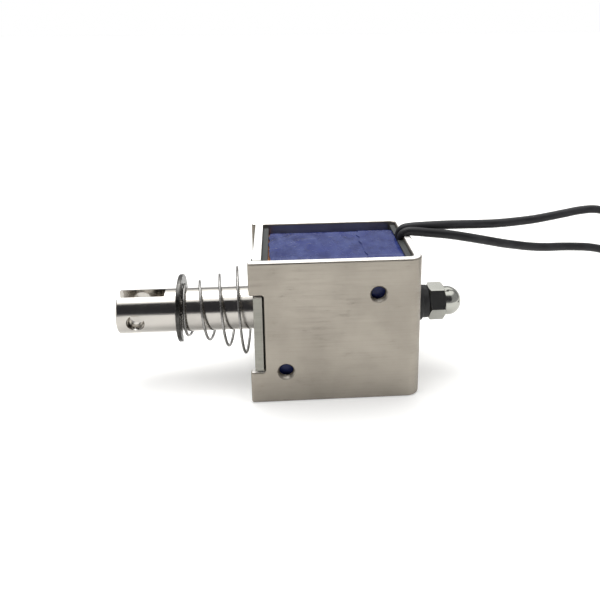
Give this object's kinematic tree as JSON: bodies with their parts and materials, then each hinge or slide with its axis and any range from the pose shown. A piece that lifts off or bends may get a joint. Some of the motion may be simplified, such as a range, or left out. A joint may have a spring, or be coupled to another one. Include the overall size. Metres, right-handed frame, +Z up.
{
  "type": "push pull solenoid",
  "caption": "Open-frame push-pull solenoid: taped coil in a bent steel frame, clevis plunger with conical return spring, and a push rod with rubber bumper and cap nut.",
  "frame": {"origin": "centre of the frame's base, in the plane of the strip's lower edges", "axes": "+X along the plunger from the clevis to the cap nut, +Y from the side plate with the tapped holes to the other one, +Z up"},
  "size_m": [0.182, 0.0442, 0.0366],
  "materials": {
    "plated_steel": "satin nickel plate on cold-rolled strip",
    "plated_plate": "satin nickel plate",
    "brass": "drawn",
    "core_steel": "turned, nickel plated",
    "bobbin_plastic": "moulded nylon",
    "copper": "enamelled wire",
    "solder": "tinned",
    "blue_tape": "glossy polyester tape",
    "bright_steel": "polished and nickel plated",
    "rod_steel": "ground",
    "spring_steel": "stamped, nickel flash",
    "spring_wire": "drawn wire",
    "black_rubber": "moulded",
    "bright_nickel": "bright nickel",
    "black_lead": "satin PVC insulation",
    "black_nylon": "moulded nylon"
  },
  "bodies": {
    "housing": {"frame": "plated_steel", "end_plate": "plated_plate", "guide_tube": "brass", "pole_core": "core_steel", "bobbin": "bobbin_plastic", "winding": "copper", "solder_joint_upper": "solder", "solder_joint_lower": "solder", "coil_tape": "blue_tape", "tape_overlap": "blue_tape", "return_spring": "spring_wire", "lead_wire_upper": "black_lead", "lead_wire_lower": "black_lead", "lead_coil": "black_lead", "lead_tail_upper": "black_lead", "lead_tail_lower": "black_lead", "tinned_end_upper": "solder", "tinned_end_lower": "solder", "cable_tie": "black_nylon"},
    "spring_seat": {"retaining_ring": "spring_steel"},
    "plunger": {"plunger": "bright_steel", "push_rod": "rod_steel", "bumper": "black_rubber", "cap_nut": "bright_nickel"}
  },
  "joints": [
    {"name": "plunger_slide", "type": "slide", "parent": "housing", "child": "spring_seat", "axis": [1, 0, 0], "range_m": [0, 0.01], "stiffness_N_per_m": 250, "springref_m": -0.006, "deforming": ["return_spring"]},
    {"name": "plunger_spin", "type": "hinge", "parent": "spring_seat", "child": "plunger", "pos_m": [-0.0363, 0, 0.017], "axis": [1, 0, 0], "continuous": true}
  ]
}
